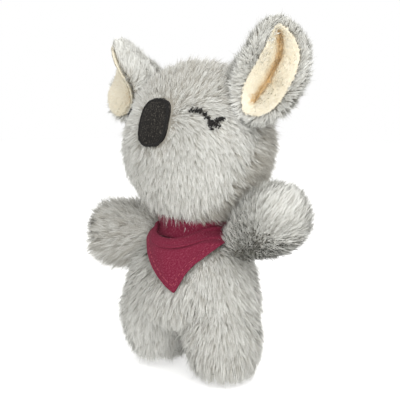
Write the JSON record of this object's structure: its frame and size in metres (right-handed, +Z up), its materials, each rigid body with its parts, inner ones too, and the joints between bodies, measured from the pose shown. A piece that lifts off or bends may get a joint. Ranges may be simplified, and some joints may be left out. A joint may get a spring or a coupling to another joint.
{
  "type": "plush koala toy",
  "caption": "Small standing plush koala with round cupped ears, an oval felt nose, closed stitched eyes, stub limbs and a cotton neck bandana.",
  "frame": {"origin": "on the ground, in the middle of the toy's width and depth", "axes": "+Z up, -Y the way the toy's face looks, +X its own left side"},
  "size_m": [0.1466, 0.0762, 0.1864],
  "materials": {
    "silver_plush": "long matt pile, silvery grey with pale tips",
    "cream_plush": "short velvety pile",
    "charcoal_felt": "matt felt",
    "black_thread": "satin stitches with a low sheen",
    "maroon_cotton": "matt plain weave",
    "white_fibre": "loose polyester fibre"
  },
  "bodies": {
    "torso": {"torso_skin": "silver_plush", "torso_filling": "white_fibre", "bandana_band": "maroon_cotton", "bandana_knot": "maroon_cotton"},
    "neck": {"neck_filling": "white_fibre"},
    "head": {"head_skin": "silver_plush", "head_filling": "white_fibre", "nose_patch": "charcoal_felt", "nose_stitching": "black_thread", "left_eye_stitching": "black_thread", "right_eye_stitching": "black_thread"},
    "left_arm": {"left_arm_skin": "silver_plush", "left_arm_filling": "white_fibre"},
    "right_arm": {"right_arm_skin": "silver_plush", "right_arm_filling": "white_fibre"},
    "left_leg": {"left_leg_skin": "silver_plush", "left_leg_filling": "white_fibre"},
    "right_leg": {"right_leg_skin": "silver_plush", "right_leg_filling": "white_fibre"},
    "left_ear": {"left_ear_skin": "silver_plush", "left_ear_lining": "cream_plush"},
    "right_ear": {"right_ear_skin": "silver_plush", "right_ear_lining": "cream_plush"},
    "bandana_triangle": {"bandana_triangle": "maroon_cotton"}
  },
  "joints": [
    {"name": "neck_turn", "type": "hinge", "parent": "torso", "child": "neck", "pos_m": [0, 0, 0.0875], "axis": [0, 0, 1], "range_deg": [-30, 30], "stiffness_Nm_per_rad": 0.05},
    {"name": "head_nod", "type": "hinge", "parent": "neck", "child": "head", "pos_m": [0, 0, 0.0875], "axis": [1, 0, 0], "range_deg": [-8, 8], "stiffness_Nm_per_rad": 0.12},
    {"name": "left_arm_raise", "type": "hinge", "parent": "torso", "child": "left_arm", "pos_m": [0.0335, -0.001, 0.075], "axis": [-0.0872, -0.9962, 0], "range_deg": [-41, 4], "stiffness_Nm_per_rad": 0.03},
    {"name": "right_arm_raise", "type": "hinge", "parent": "torso", "child": "right_arm", "pos_m": [-0.0335, -0.001, 0.075], "axis": [-0.1392, 0.9903, 0], "range_deg": [-5, 38], "stiffness_Nm_per_rad": 0.03},
    {"name": "left_leg_swing", "type": "hinge", "parent": "torso", "child": "left_leg", "pos_m": [0.024, -0.0065, 0.034], "axis": [1, 0, 0], "range_deg": [-12, 12], "stiffness_Nm_per_rad": 0.2},
    {"name": "right_leg_swing", "type": "hinge", "parent": "torso", "child": "right_leg", "pos_m": [-0.024, -0.0065, 0.034], "axis": [1, 0, 0], "range_deg": [-12, 12], "stiffness_Nm_per_rad": 0.2},
    {"name": "left_ear_bend", "type": "hinge", "parent": "head", "child": "left_ear", "pos_m": [0.03986, 0.00173, 0.14665], "axis": [0.505, 0.3746, -0.7776], "range_deg": [-15, 15], "stiffness_Nm_per_rad": 0.008},
    {"name": "right_ear_bend", "type": "hinge", "parent": "head", "child": "right_ear", "pos_m": [-0.03986, 0.00173, 0.14665], "axis": [0.505, -0.3746, 0.7776], "range_deg": [-15, 15], "stiffness_Nm_per_rad": 0.008},
    {"name": "triangle_lift", "type": "hinge", "parent": "torso", "child": "bandana_triangle", "pos_m": [0.00547, -0.01289, 0.078], "axis": [-0.9205, -0.3907, 0], "range_deg": [0, 25]}
  ]
}
